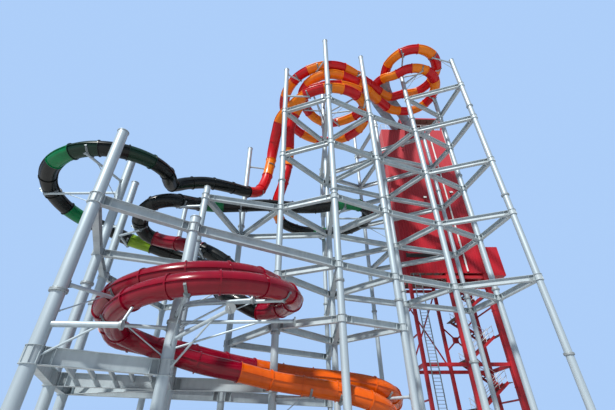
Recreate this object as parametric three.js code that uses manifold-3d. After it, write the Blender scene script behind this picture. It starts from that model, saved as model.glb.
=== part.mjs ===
// Water slide tower: pipe columns, beam levels, two winding tube slides and a red stair tower.
// Millimetres, +Z up, ground at z = 0, origin under the middle hub column.

import * as THREE from 'three';
import { mergeVertices } from 'three/addons/utils/BufferGeometryUtils.js';
import Module from 'manifold-3d';

const wasm = await Module();
wasm.setup();

// Driving sizes
const COLUMN_RADIUS = 230;
const BIG_COLUMN_RADIUS = 270;
const THIN_COLUMN_RADIUS = 195;
const COLUMN_SIDES = 8;
const BEAM_WIDTH = 260;
const LONG_BEAM_WIDTH = 280;
const BEAM_DEPTH = 420;
const DEEP_BEAM_DEPTH = 500;
const DECK_BEAM_DEPTH = 620;
const BASE_PLATE = { reach: 190, thickness: 40 };
const SPLICE = { reach: 75, half: 60 };
const CAP = { reach: 30, thickness: 50 };
const COLLAR_WALL = 70;
const COLLAR_SEAT = 30;
const COLLAR_MARGIN = 15;
const CLEARANCE = 0.5;
const TUBE_RADIUS = 500;
const TUBE_WALL = 60;
const TUBE_SIDES = 8;
const JOINT_GAP = 0.0001;
const FIT_GAP = 0.4;
const ARM_SIZE = 150;
const ARM_OVERHANG = 220;
const SADDLE_DEPTH = 90;

// Beam levels, middle height of each
const LEVEL = { t0: 32500, t1: 27600, t2: 22100, t3: 16600, t4: 11150, t5: 7700, t6: 4300 };

// Column plan positions, top height, radius and the heights of the bolted pipe splices
const COLUMNS = {
  o: { x: 0, y: 0, top: 36300, r: COLUMN_RADIUS, splices: [19200, 30000] },
  c: { x: -4060, y: -4070, top: 34100, r: COLUMN_RADIUS, splices: [7300, 19300] },
  d: { x: -60, y: -5700, top: 36900, r: COLUMN_RADIUS, splices: [10100, 17200, 29400] },
  e: { x: 4090, y: -3730, top: 37200, r: COLUMN_RADIUS, splices: [9500, 17900, 29700] },
  f: { x: 9030, y: -1870, top: 37300, r: COLUMN_RADIUS, splices: [6000, 18100, 29300] },
  g: { x: 14220, y: -3810, top: 36900, r: COLUMN_RADIUS, splices: [6100, 18300, 29200] },
  h: { x: 13490, y: 520, top: 36900, r: COLUMN_RADIUS, splices: [11900, 23800] },
  i: { x: 12590, y: 3760, top: 33600, r: THIN_COLUMN_RADIUS, splices: [12300, 24300] },
  j: { x: 6350, y: 2100, top: 33600, r: THIN_COLUMN_RADIUS, splices: [12300, 24300] },
  m: { x: 4900, y: 7600, top: 37300, r: THIN_COLUMN_RADIUS, splices: [12300, 24300] },
  n: { x: 0, y: 5450, top: 28600, r: THIN_COLUMN_RADIUS, splices: [12300] },
  r: { x: -7780, y: 610, top: 27200, r: COLUMN_RADIUS, splices: [17700] },
  b: { x: -9510, y: -5440, top: 17500, r: COLUMN_RADIUS, splices: [12900] },
  k: { x: -14040, y: 3140, top: 21300, r: COLUMN_RADIUS, splices: [17300] },
  a: { x: -12230, y: -12820, top: 15600, r: BIG_COLUMN_RADIUS, splices: [6700] },
  q: { x: -8310, y: -10170, top: 11850, r: BIG_COLUMN_RADIUS, splices: [6200] },
  a2: { x: -14660, y: -7230, top: 18600, r: BIG_COLUMN_RADIUS, splices: [9200] },
  a3: { x: -15950, y: -3650, top: 19200, r: BIG_COLUMN_RADIUS, splices: [9200] },
};

// Colours
const PAINT = {
  steel: { color: 0xc3ccd2, roughness: 0.45, metalness: 0.55 },
  shell: { color: 0x9c1f2b, roughness: 0.4, metalness: 0.1 },
  frame: { color: 0x8f1a22, roughness: 0.5, metalness: 0.3 },
  flame: { color: 0xc8321e, roughness: 0.25, metalness: 0.0 },
  dark: { color: 0x17221f, roughness: 0.25, metalness: 0.0 },
  ruby: { color: 0x8e1420, roughness: 0.2, metalness: 0.0 },
  amber: { color: 0xd9651c, roughness: 0.25, metalness: 0.0 },
};

const group = new THREE.Group();
const paints = Object.fromEntries(
  Object.entries(PAINT).map(([name, look]) => [name, new THREE.MeshStandardMaterial({ ...look, name })]),
);

function welded(geometry) {
  const clean = geometry.index ? geometry.toNonIndexed() : geometry.clone();
  clean.deleteAttribute('normal');
  clean.deleteAttribute('uv');
  return mergeVertices(clean, 0.001);
}

function solid(geometry) {
  const clean = welded(geometry);
  return new wasm.Manifold(new wasm.Mesh({
    numProp: 3,
    vertProperties: new Float32Array(clean.attributes.position.array),
    triVerts: new Uint32Array(clean.index.array),
  }));
}

function join(solids) {
  return solids.reduce((all, one) => all.add(one));
}

function meshGeometry(body) {
  const mesh = body.getMesh();
  const geometry = new THREE.BufferGeometry();
  const points = new Float32Array(mesh.numVert * 3);
  for (let v = 0; v < mesh.numVert; v += 1) {
    for (let axis = 0; axis < 3; axis += 1) {
      points[v * 3 + axis] = mesh.vertProperties[v * mesh.numProp + axis];
    }
  }
  geometry.setAttribute('position', new THREE.BufferAttribute(points, 3));
  geometry.setIndex(new THREE.BufferAttribute(new Uint32Array(mesh.triVerts), 1));
  geometry.computeVertexNormals();
  return geometry;
}

function place(name, geometry, paint, x = 0, y = 0, z = 0) {
  const mesh = new THREE.Mesh(geometry, paints[paint]);
  mesh.name = name;
  mesh.position.set(x, y, z);
  group.add(mesh);
  return mesh;
}

// A turned body about a standing axis, from radius and height pairs
function turned(profile, sides) {
  const points = profile.map(([radius, height]) => new THREE.Vector2(radius, height));
  const geometry = new THREE.LatheGeometry(points, sides, Math.PI / sides);
  geometry.rotateX(Math.PI / 2);
  return geometry;
}

// Standing pipe with a base plate, splice flanges and a flat cap
function columnGeometry(column) {
  const { r, top, splices } = column;
  const base = r + BASE_PLATE.reach;
  const profile = [[0, 0], [base, 0], [base, BASE_PLATE.thickness], [r, BASE_PLATE.thickness]];
  for (const height of splices) {
    const [low, high] = [height - SPLICE.half, height + SPLICE.half];
    profile.push([r, low], [r + SPLICE.reach, low], [r + SPLICE.reach, high], [r, high]);
  }
  const neck = top - CAP.thickness;
  profile.push([r, neck], [r + CAP.reach, neck], [r + CAP.reach, top], [0, top]);
  return turned(profile, COLUMN_SIDES);
}

function collar(column, z, depth) {
  const inner = column.r + CLEARANCE;
  const outer = inner + COLLAR_WALL;
  const half = depth / 2 + COLLAR_MARGIN;
  const body = solid(turned(
    [[inner, -half], [outer, -half], [outer, half], [inner, half], [inner, -half]], COLUMN_SIDES));
  return body.translate([column.x, column.y, z]);
}

// A straight beam between two columns: an end is joined to its collar, or is cut to fit a neighbour's collar
function beam(from, to, z, { width = BEAM_WIDTH, depth = BEAM_DEPTH, freeEnds = [], seat = COLLAR_SEAT } = {}) {
  const a = COLUMNS[from];
  const b = COLUMNS[to];
  const dx = b.x - a.x;
  const dy = b.y - a.y;
  const span = Math.hypot(dx, dy);
  const start = a.r + seat;
  const end = span - b.r - seat;
  const bar = new THREE.BoxGeometry(end - start, width, depth);
  bar.translate((start + end) / 2, 0, 0);
  bar.rotateZ(Math.atan2(dy, dx));
  bar.translate(a.x, a.y, z);
  let body = solid(bar);
  for (const name of freeEnds) {
    const column = COLUMNS[name];
    const radius = column.r + COLLAR_WALL + CLEARANCE + FIT_GAP;
    const [low, high] = [z - depth, z + depth];
    const prism = turned([[0, low], [radius, low], [radius, high], [0, high]], COLUMN_SIDES);
    prism.translate(column.x, column.y, 0);
    body = body.subtract(solid(prism));
  }
  return body;
}

// Beams of one level that meet at the collars of the named columns, cut clear of the other beams beside them
function level(name, z, collars, spans, { besides = [], ...size } = {}) {
  const depth = size.depth ?? BEAM_DEPTH;
  const parts = collars.map((column) => collar(COLUMNS[column], z, depth));
  for (const [from, to, freeEnds = []] of spans) {
    parts.push(beam(from, to, z, { ...size, freeEnds }));
  }
  let body = join(parts);
  for (const [from, to, freeEnds = [], width = BEAM_WIDTH] of besides) {
    const room = { width: width + 2 * FIT_GAP, depth: DEEP_BEAM_DEPTH + 20, seat: 0, freeEnds };
    body = body.subtract(beam(from, to, z, room));
  }
  place(name, meshGeometry(body), 'steel');
}

// Middle fan of beams round hub column o, and the ring beams beside it
const FAN = [['o', 'c'], ['o', 'd'], ['o', 'e'], ['c', 'd'], ['d', 'e'], ['o', 'n'], ['o', 'j', ['j']]];
const FAN_BACK = { t1: [['n', 'j', ['j']], ['n', 'm', ['m']]], t2: [['n', 'j', ['j']]], t4: [] };
FAN_BACK.t3 = FAN_BACK.t1;
for (const tier of ['t1', 't2', 't3', 't4']) {
  level(`hub_beams_${tier}`, LEVEL[tier], ['o', 'c', 'd', 'e', 'n'], [...FAN, ...FAN_BACK[tier]],
    { besides: tier === 't4' ? [['q', 'd', ['d'], LONG_BEAM_WIDTH]] : [['j', 'm']] });
}
level('hub_beams_t5', LEVEL.t5, ['o', 'c', 'd', 'e', 'n', 'r'],
  [['o', 'c'], ['o', 'd'], ['o', 'e'], ['c', 'd'], ['d', 'e'], ['c', 'r'], ['r', 'n'], ['o', 'n']]);

// East bays round hub column f
const EAST = [
  ['f', 'e', ['e']], ['f', 'g'], ['f', 'h'], ['g', 'h'], ['h', 'i'], ['f', 'j'], ['j', 'i'], ['j', 'm'],
  ['i', 'm'],
];
for (const tier of ['t1', 't2', 't3', 't4']) {
  const low = tier === 't4';
  level(`east_beams_${tier}`, LEVEL[tier], low ? ['f', 'g', 'h', 'i', 'j'] : ['f', 'g', 'h', 'i', 'j', 'm'],
    low ? EAST.slice(0, 7) : EAST);
}
level('east_beams_t0', LEVEL.t0, ['f', 'g', 'h', 'i', 'j', 'm'],
  [['f', 'g'], ['f', 'h'], ['g', 'h'], ['h', 'i'], ['j', 'm'], ['i', 'm']]);

// West bays, joined by column r
level('west_beams_t3', LEVEL.t3, ['r', 'b'],
  [['r', 'c', ['c']], ['r', 'b'], ['b', 'c', ['c']], ['r', 'o', ['o']]], { besides: [['o', 'c']] });
level('back_beams_t4', LEVEL.t4, ['r', 'k', 'a2', 'a3'],
  [['r', 'c', ['c']], ['r', 'k'], ['k', 'a3'], ['a2', 'a3'], ['a2', 'b']]);

// Long deep beam from the front left column, past column q, to column d
function line(z, stops, depth) {
  const parts = stops.map((stop) => collar(COLUMNS[stop], z, depth));
  for (let n = 1; n < stops.length; n += 1) {
    parts.push(beam(stops[n - 1], stops[n], z, { depth, width: LONG_BEAM_WIDTH }));
  }
  return parts;
}
const mainBeam = line(LEVEL.t4, ['a', 'q'], DEEP_BEAM_DEPTH);
mainBeam.push(beam('q', 'd', LEVEL.t4, { depth: DEEP_BEAM_DEPTH, width: LONG_BEAM_WIDTH, freeEnds: ['d'] }));
mainBeam.push(beam('a', 'a2', LEVEL.t4, { depth: DEEP_BEAM_DEPTH, width: LONG_BEAM_WIDTH, freeEnds: ['a2'] }));
place('long_beam_t4', meshGeometry(join(mainBeam)), 'steel');

// Deck beams of the low front bay, carried on to the hub and the back
const deck = { depth: DECK_BEAM_DEPTH, width: LONG_BEAM_WIDTH };
level('deck_beams_t6', LEVEL.t6, ['a', 'q', 'a2', 'a3', 'b', 'c', 'r', 'n'],
  [['a', 'q'], ['a', 'a2'], ['a2', 'a3'], ['a2', 'b'], ['q', 'b'], ['a3', 'b'], ['b', 'c'], ['a3', 'r'],
    ['r', 'n']], deck);

// Slides: each path is a list of points, then swept as a tube with upright rings
function turn(cx, cy, radius, from, to, zFrom, zTo, count) {
  const points = [];
  for (let n = 0; n <= count; n += 1) {
    const t = n / count;
    const angle = THREE.MathUtils.degToRad(from + (to - from) * t);
    points.push([cx + radius * Math.cos(angle), cy + radius * Math.sin(angle), zFrom + (zTo - zFrom) * t]);
  }
  return points;
}

// A stretch of a slide's whole curve, from one of its points to a later one, with upright rings
class Stretch extends THREE.Curve {
  constructor(whole, count, from, to) {
    super();
    this.whole = whole;
    this.start = (from + JOINT_GAP) / count;
    this.length = (to - from - 2 * JOINT_GAP) / count;
  }

  getPoint(t, target = new THREE.Vector3()) {
    return this.whole.getPoint(this.start + this.length * t, target);
  }

  getPointAt(t, target) {
    return this.getPoint(t, target);
  }

  computeFrenetFrames(segments) {
    const frames = { tangents: [], normals: [], binormals: [] };
    const up = new THREE.Vector3(0, 0, 1);
    for (let n = 0; n <= segments; n += 1) {
      const tangent = this.whole.getTangent(this.start + this.length * (n / segments), new THREE.Vector3());
      const normal = new THREE.Vector3().crossVectors(up, tangent).normalize();
      frames.tangents.push(tangent);
      frames.normals.push(normal);
      frames.binormals.push(new THREE.Vector3().crossVectors(tangent, normal).normalize());
    }
    return frames;
  }
}

const blanks = [];

function ringShape(hollow) {
  const shape = new THREE.Shape();
  const hole = new THREE.Path();
  const corner = (radius, n) => {
    const angle = ((n + 0.5) / TUBE_SIDES) * Math.PI * 2;
    return [radius * Math.cos(angle), radius * Math.sin(angle)];
  };
  const outer = hollow ? TUBE_RADIUS : TUBE_RADIUS + FIT_GAP;
  shape.moveTo(...corner(outer, 0));
  hole.moveTo(...corner(TUBE_RADIUS - TUBE_WALL, 0));
  for (let n = 1; n < TUBE_SIDES; n += 1) {
    shape.lineTo(...corner(outer, n));
    hole.lineTo(...corner(TUBE_RADIUS - TUBE_WALL, -n));
  }
  shape.closePath();
  hole.closePath();
  if (hollow) {
    shape.holes.push(hole);
  }
  return shape;
}

// Sweeps the tube along one slide and cuts it into named stretches of so many steps each
function slide(points, stretches) {
  const whole = new THREE.CatmullRomCurve3(points.map((p) => new THREE.Vector3(...p)), false, 'centripetal');
  const count = points.length - 1;
  let from = 0;
  for (const [name, steps, paint] of stretches) {
    const path = new Stretch(whole, count, from, from + steps);
    const sweep = { steps, bevelEnabled: false, extrudePath: path };
    place(name, meshGeometry(solid(new THREE.ExtrudeGeometry(ringShape(true), sweep))), paint);
    from += steps;
  }
  const path = new Stretch(whole, count, 0, count);
  blanks.push(solid(new THREE.ExtrudeGeometry(ringShape(false), { steps: count, bevelEnabled: false,
    extrudePath: path })));
}

// Slide A: from the landing round the wide ring, the inner loop, the dark loop, a hook and the upper red ring
const A_TOP = [[10400, 6460, 37000], [8600, 4300, 37000], [6900, 2100, 36980], [6250, 400, 36800],
  [6350, -900, 36450], [6950, -2000, 35950]];
const A_RING = turn(10140, -860, 2780, 218, 465, 35700, 34960, 8);
const A_CROSS = [[8150, 1350, 34700], [7000, 350, 34450], [5850, -750, 34150], [4700, -1950, 33900]];
const A_LOOP = [[3600, -2930, 33650], [1900, -3850, 33500], [300, -4200, 33350], [-1300, -3600, 33200],
  [-2310, -1970, 33100], [-1950, -100, 33000], [-850, 1410, 32950], [600, 2050, 32850], [1880, 1830, 32800],
  [2980, 1250, 32700], [3900, 440, 32600], [4450, -800, 32500], [4250, -2000, 32400], [3700, -2850, 32300],
  [2550, -3470, 32200], [950, -3810, 32100], [-80, -3740, 32000], [-1400, -3350, 31900], [-2350, -2550, 31700]];
const A_CHUTE = [[-2800, -1500, 31200], [-3400, -700, 30200], [-3700, -200, 29000], [-3750, 600, 27200],
  [-3850, 1050, 25200], [-4200, 1200, 23200], [-4750, 2000, 21300], [-4500, 3400, 20150]];
const A_DARK = [[-2900, 4400, 19700], [-700, 4500, 19400], [1700, 3700, 19150], [3300, 1900, 18950],
  [3650, -50, 18750], [2900, -1600, 18500], [1100, -2350, 18250], [-1000, -2100, 18050], [-3200, -2200, 17950]];
const A_BACK = [[-5400, -2600, 17850], [-7400, -2750, 17650], [-9200, -3200, 17300]];
const A_HOOK = [[-10600, -4200, 16850], [-11300, -5300, 16300], [-11900, -6100, 15800], [-12700, -6300, 15400],
  [-13500, -5700, 15050], [-14050, -4600, 14700], [-13800, -3600, 14400], [-12800, -3300, 14100],
  [-11100, -3700, 13600], [-9400, -3900, 13050], [-7900, -3900, 12200], [-6700, -3700, 11150], [-5800, -3850, 10250]];
const A_RUBY = turn(-8350, -7300, 4300, 40, -180, 9550, 6850, 8);
const A_END = [[-12600, -6300, 6450], [-11600, -5900, 6250], [-10400, -6150, 6000], [-9300, -6300, 5850],
  [-7600, -5300, 5600], [-6000, -4100, 5450], [-4300, -3150, 5300], [-2300, -2900, 5050], [-300, -2900, 4850],
  [1800, -2850, 4550], [2750, -2500, 4300], [3500, -1400, 4050], [3850, 100, 3850]];
const A_POINTS = [...A_TOP, ...A_RING, ...A_CROSS, ...A_LOOP, ...A_CHUTE, ...A_DARK, ...A_BACK, ...A_HOOK,
  ...A_RUBY, ...A_END];

// Slide B: from the landing round the upper ring, the outer loop, the big dark loop and the lower red ring
const B_TOP = [[12400, 6460, 37000], [10700, 4200, 37050], [8900, 2100, 37150], [7700, 100, 37150]];
const B_RING = turn(10050, -2170, 2870, 165, 455, 37080, 36660, 8);
const B_CROSS = [[8300, 650, 36050], [7100, -80, 35600], [5900, -1200, 35250]];
const B_LOOP = [[4800, -2100, 35000], ...turn(150, 0, 4550, -45, -505, 34750, 30050, 16)];
const B_CHUTE = [[-4600, -1550, 29600], [-5050, -400, 28600], [-5400, 650, 27200], [-5650, 1000, 25200],
  [-6000, 900, 23000], [-6500, 400, 21500], [-7300, -700, 20600]];
const B_DARK = [[-8650, -2150, 20000], [-10250, -3450, 19450], [-11500, -4200, 18800]];
const B_BIG = turn(-15850, -6350, 3750, 20, -250, 17950, 15250, 10);
const B_PASS = [[-16000, -1900, 14950], [-14000, -1300, 14500], [-12400, -850, 14000], [-10500, -900, 13400],
  [-9100, -1550, 12650], [-8300, -2650, 11550], [-7950, -3900, 10250], [-7150, -4800, 9350], [-6150, -5150, 8800]];
const B_RUBY = turn(-7150, -8700, 4200, 60, -180, 8320, 6150, 8);
const B_END = [[-10900, -7750, 6000], [-9500, -7400, 5550], [-7700, -7000, 5050], [-5800, -6200, 4750],
  [-3950, -5200, 4450], [-1900, -4850, 4180], [-250, -4850, 3920], [1400, -4720, 3500], [2200, -4200, 3200],
  [2600, -3100, 2950], [2700, -1700, 2750]];
const B_POINTS = [...B_TOP, ...B_RING, ...B_CROSS, ...B_LOOP, ...B_CHUTE, ...B_DARK, ...B_BIG, ...B_PASS,
  ...B_RUBY, ...B_END];

slide(A_POINTS, [
  ['slide_a_ring', 14, 'flame'],
  ['slide_a_loop_one', 13, 'flame'],
  ['slide_a_loop_two', 10, 'flame'],
  ['slide_a_chute', 8, 'flame'],
  ['slide_a_dark_loop', 9, 'dark'],
  ['slide_a_dark_run', 7, 'dark'],
  ['slide_a_dark_pass', 10, 'dark'],
  ['slide_a_red_ring', 8, 'ruby'],
  ['slide_a_run_out', 13, 'ruby'],
]);
slide(B_POINTS, [
  ['slide_b_ring', 12, 'flame'],
  ['slide_b_loop_one', 10, 'flame'],
  ['slide_b_loop_two', 11, 'flame'],
  ['slide_b_chute', 7, 'flame'],
  ['slide_b_dark_run', 5, 'dark'],
  ['slide_b_dark_loop', 9, 'dark'],
  ['slide_b_dark_pass', 10, 'dark'],
  ['slide_b_red_ring', 8, 'ruby'],
  ['slide_b_red_run', 4, 'ruby'],
  ['slide_b_run_out', 7, 'amber'],
]);

// Columns, each with the arms that carry the slides, saddled to the tubes
const ARMS = {
  o: [A_LOOP[2], A_LOOP[5], A_LOOP[8], A_LOOP[11], A_LOOP[13], A_LOOP[17], A_DARK[4], A_DARK[6]],
  c: [B_LOOP[4], B_LOOP[16], A_RUBY[0], A_END[6], B_END[5]],
  d: [B_LOOP[3], B_LOOP[15], B_END[6]],
  e: [B_LOOP[1], B_LOOP[13], B_END[9], A_END[10]],
  f: [B_RING[2], B_RING[5], A_RING[2], A_RING[7]],
  g: [B_RING[4]],
  h: [A_RING[5]],
  j: [A_DARK[3]],
  n: [A_DARK[1]],
  r: [B_CHUTE[3], B_CHUTE[5], A_BACK[1]],
  b: [A_HOOK[1], A_HOOK[9], A_END[3]],
  a: [A_RUBY[6]],
  q: [B_RUBY[3], B_RUBY[5], B_RUBY[7], A_RUBY[3]],
  a2: [B_BIG[4], B_BIG[7], A_HOOK[4]],
  a3: [B_BIG[9], A_HOOK[5], B_PASS[0]],
};

function columnBody(name, column) {
  let body = solid(columnGeometry(column)).translate([column.x, column.y, 0]);
  for (const [px, py, pz] of ARMS[name] ?? []) {
    const reach = Math.hypot(px - column.x, py - column.y) + ARM_OVERHANG;
    const bar = new THREE.BoxGeometry(reach, ARM_SIZE, ARM_SIZE);
    bar.translate(reach / 2, 0, 0);
    bar.rotateZ(Math.atan2(py - column.y, px - column.x));
    bar.translate(column.x, column.y, pz - TUBE_RADIUS - ARM_SIZE / 2 + SADDLE_DEPTH);
    body = body.add(solid(bar));
  }
  if (ARMS[name]) {
    for (const blank of blanks) {
      body = body.subtract(blank);
    }
  }
  return body;
}

for (const [name, column] of Object.entries(COLUMNS)) {
  place(`column_${name}`, meshGeometry(columnBody(name, column)), 'steel');
}

// Red clad stair shaft, open below, with a landing, four posts and a roof over part of its top
const LANDING = A_TOP[0][2] - TUBE_RADIUS * Math.cos(Math.PI / TUBE_SIDES) - FIT_GAP;
const TOWER = {
  x0: 8400, x1: 16700, y0: 6400, y1: 10900, bottom: 15900, top: 38900, wall: 120, floor: LANDING,
};
const ROOF = { x0: 11200, thickness: 200, post: 160 };
const LANDING_THICKNESS = 150;
const SIDE_BOX = { x1: 19000, setBack: 600, top: 19200 };
const BASE_FRAME = { inset: 200, postHalf: 150, railHalf: 110, levels: [7300, 15500] };

function box(x0, x1, y0, y1, z0, z1) {
  const geometry = new THREE.BoxGeometry(x1 - x0, y1 - y0, z1 - z0);
  geometry.translate((x0 + x1) / 2, (y0 + y1) / 2, (z0 + z1) / 2);
  return solid(geometry);
}

const { x0, x1, y0, y1, bottom, top, wall, floor } = TOWER;
const shellParts = [
  box(x0, x1, y0, y1, bottom, floor).subtract(
    box(x0 + wall, x1 - wall, y0 + wall, y1 - wall, bottom - 10, floor - LANDING_THICKNESS)),
  box(ROOF.x0, x1, y0, y1, top - ROOF.thickness, top),
];
for (const x of [ROOF.x0, x1 - ROOF.post]) {
  for (const y of [y0, y1 - ROOF.post]) {
    shellParts.push(box(x, x + ROOF.post, y, y + ROOF.post, floor - 50, top - 50));
  }
}
place('tower_shell', meshGeometry(join(shellParts)), 'shell');

// Wider box at the side of the tower's lower end
const sideBox = box(x1 + FIT_GAP, SIDE_BOX.x1, y0 + SIDE_BOX.setBack, y1, bottom, SIDE_BOX.top);
place('tower_side_box', meshGeometry(sideBox), 'shell');

// Open base frame below the tower
const { inset, postHalf, railHalf } = BASE_FRAME;
const frameParts = [];
for (const x of [x0 + inset, (x0 + x1) / 2, x1 - inset]) {
  for (const y of [y0 + inset, y1 - inset]) {
    frameParts.push(box(x - postHalf, x + postHalf, y - postHalf, y + postHalf, 0, bottom - FIT_GAP));
  }
}
for (const z of BASE_FRAME.levels) {
  for (const y of [y0 + inset, y1 - inset]) {
    frameParts.push(box(x0 + inset, x1 - inset, y - railHalf, y + railHalf, z - postHalf, z + postHalf));
  }
  for (const x of [x0 + inset, x1 - inset]) {
    frameParts.push(box(x - railHalf, x + railHalf, y0 + inset, y1 - inset, z - postHalf, z + postHalf));
  }
}
place('tower_base_frame', meshGeometry(join(frameParts)), 'frame');

export default group;
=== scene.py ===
"""Water slide tower: pipe columns, rolled beams, two tube slides and a red clad stair tower. Metres."""

import math

import bmesh
import bpy
from mathutils import Matrix, Vector


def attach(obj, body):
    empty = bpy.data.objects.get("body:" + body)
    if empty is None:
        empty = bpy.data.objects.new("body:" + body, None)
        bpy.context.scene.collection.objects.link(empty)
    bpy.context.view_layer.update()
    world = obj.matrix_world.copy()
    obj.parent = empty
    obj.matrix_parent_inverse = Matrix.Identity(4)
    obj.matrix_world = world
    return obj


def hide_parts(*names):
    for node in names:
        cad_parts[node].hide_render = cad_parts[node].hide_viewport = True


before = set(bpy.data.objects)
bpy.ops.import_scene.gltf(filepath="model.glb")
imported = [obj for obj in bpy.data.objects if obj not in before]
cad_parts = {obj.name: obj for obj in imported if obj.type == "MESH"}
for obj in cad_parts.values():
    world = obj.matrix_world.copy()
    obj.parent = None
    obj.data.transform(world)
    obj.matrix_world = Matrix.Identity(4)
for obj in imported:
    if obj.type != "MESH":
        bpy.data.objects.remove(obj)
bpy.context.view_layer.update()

# Driving sizes
TUBE_RADIUS = 0.49
TUBE_WALL = 0.03
LENGTH_OF_TUBE = 1.95
SEAM_REACH = 0.06
RIM_REACH = 0.055
ARM_DROP = 0.485
BEAM_WIDTH = 0.31
LONG_BEAM_WIDTH = 0.33
BEAM_DEPTH = 0.42
DEEP_BEAM_DEPTH = 0.5
DECK_BEAM_DEPTH = 0.62
COLLAR_WALL = 0.07

# Beam levels, middle height of each
LEVEL = {"t0": 32.5, "t1": 27.6, "t2": 22.1, "t3": 16.6, "t4": 11.15, "t5": 7.7, "t6": 4.3}

# Columns: x, y, top, radius, heights of the bolted splices
COLUMNS = {
    "o": (0.0, 0.0, 36.3, 0.23, (19.2, 30.0)),
    "c": (-4.06, -4.07, 34.1, 0.23, (7.3, 19.3)),
    "d": (-0.06, -5.7, 36.9, 0.23, (10.1, 17.2, 29.4)),
    "e": (4.09, -3.73, 37.2, 0.23, (9.5, 17.9, 29.7)),
    "f": (9.03, -1.87, 37.3, 0.23, (6.0, 18.1, 29.3)),
    "g": (14.22, -3.81, 36.9, 0.23, (6.1, 18.3, 29.2)),
    "h": (13.49, 0.52, 36.9, 0.23, (11.9, 23.8)),
    "i": (12.59, 3.76, 33.6, 0.195, (12.3, 24.3)),
    "j": (6.35, 2.1, 33.6, 0.195, (12.3, 24.3)),
    "m": (4.9, 7.6, 37.3, 0.195, (12.3, 24.3)),
    "n": (0.0, 5.45, 28.6, 0.195, (12.3,)),
    "r": (-7.78, 0.61, 27.2, 0.23, (17.7,)),
    "b": (-9.51, -5.44, 17.5, 0.23, (12.9,)),
    "k": (-14.04, 3.14, 21.3, 0.23, (17.3,)),
    "a": (-12.23, -12.82, 15.6, 0.27, (6.7,)),
    "q": (-8.31, -10.17, 11.85, 0.27, (6.2,)),
    "a2": (-14.66, -7.23, 18.6, 0.27, (9.2,)),
    "a3": (-15.95, -3.65, 19.2, 0.27, (9.2,)),
}

# Beams of each level: columns with a collar, then the spans
FAN = ["oc", "od", "oe", "cd", "de", "on", "oj"]
EAST = ["fe", "fg", "fh", "gh", "hi", "fj", "ji", "jm", "im"]
FRAMING = {
    "hub_beams_t1": ("t1", ["o", "c", "d", "e", "n"], FAN + ["nj", "nm"]),
    "hub_beams_t2": ("t2", ["o", "c", "d", "e", "n"], FAN + ["nj"]),
    "hub_beams_t3": ("t3", ["o", "c", "d", "e", "n"], FAN + ["nj", "nm"]),
    "hub_beams_t4": ("t4", ["o", "c", "d", "e", "n"], FAN),
    "hub_beams_t5": ("t5", ["o", "c", "d", "e", "n", "r"],
                     ["oc", "od", "oe", "cd", "de", "cr", "rn", "on"]),
    "east_beams_t0": ("t0", ["f", "g", "h", "i", "j", "m"], ["fg", "fh", "gh", "hi", "jm", "im"]),
    "east_beams_t1": ("t1", ["f", "g", "h", "i", "j", "m"], EAST),
    "east_beams_t2": ("t2", ["f", "g", "h", "i", "j", "m"], EAST),
    "east_beams_t3": ("t3", ["f", "g", "h", "i", "j", "m"], EAST),
    "east_beams_t4": ("t4", ["f", "g", "h", "i", "j"], EAST[:7]),
    "west_beams_t3": ("t3", ["r", "b"], ["rc", "rb", "bc", "ro"]),
    "back_beams_t4": ("t4", ["r", "k", "a2", "a3"], ["rc", "rk", ("k", "a3"), ("a2", "a3"), ("a2", "b")]),
    "long_beam_t4": ("t4", ["a", "q"], ["aq", "qd", ("a", "a2")]),
    "deck_beams_t6": ("t6", ["a", "q", "a2", "a3", "b", "c", "r", "n"],
                      ["aq", ("a", "a2"), ("a2", "a3"), ("a2", "b"), "qb", ("a3", "b"), "bc", ("a3", "r"),
                       "rn"]),
}


def turn(cx, cy, radius, start, end, z_start, z_end, count):
    """Points round part of a helix."""
    points = []
    for step in range(count + 1):
        share = step / count
        angle = math.radians(start + (end - start) * share)
        points.append((cx + radius * math.cos(angle), cy + radius * math.sin(angle),
                       z_start + (z_end - z_start) * share))
    return points


# Slide A
A_TOP = [(10.4, 6.46, 37.0), (8.6, 4.3, 37.0), (6.9, 2.1, 36.98), (6.25, 0.4, 36.8), (6.35, -0.9, 36.45),
         (6.95, -2.0, 35.95)]
A_RING = turn(10.14, -0.86, 2.78, 218, 465, 35.7, 34.96, 8)
A_CROSS = [(8.15, 1.35, 34.7), (7.0, 0.35, 34.45), (5.85, -0.75, 34.15), (4.7, -1.95, 33.9)]
A_LOOP = [(3.6, -2.93, 33.65), (1.9, -3.85, 33.5), (0.3, -4.2, 33.35), (-1.3, -3.6, 33.2),
          (-2.31, -1.97, 33.1), (-1.95, -0.1, 33.0), (-0.85, 1.41, 32.95), (0.6, 2.05, 32.85),
          (1.88, 1.83, 32.8), (2.98, 1.25, 32.7), (3.9, 0.44, 32.6), (4.45, -0.8, 32.5),
          (4.25, -2.0, 32.4), (3.7, -2.85, 32.3), (2.55, -3.47, 32.2), (0.95, -3.81, 32.1),
          (-0.08, -3.74, 32.0), (-1.4, -3.35, 31.9), (-2.35, -2.55, 31.7)]
A_CHUTE = [(-2.8, -1.5, 31.2), (-3.4, -0.7, 30.2), (-3.7, -0.2, 29.0), (-3.75, 0.6, 27.2),
           (-3.85, 1.05, 25.2), (-4.2, 1.2, 23.2), (-4.75, 2.0, 21.3), (-4.5, 3.4, 20.15)]
A_DARK = [(-2.9, 4.4, 19.7), (-0.7, 4.5, 19.4), (1.7, 3.7, 19.15), (3.3, 1.9, 18.95), (3.65, -0.05, 18.75),
          (2.9, -1.6, 18.5), (1.1, -2.35, 18.25), (-1.0, -2.1, 18.05), (-3.2, -2.2, 17.95)]
A_BACK = [(-5.4, -2.6, 17.85), (-7.4, -2.75, 17.65), (-9.2, -3.2, 17.3)]
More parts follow.
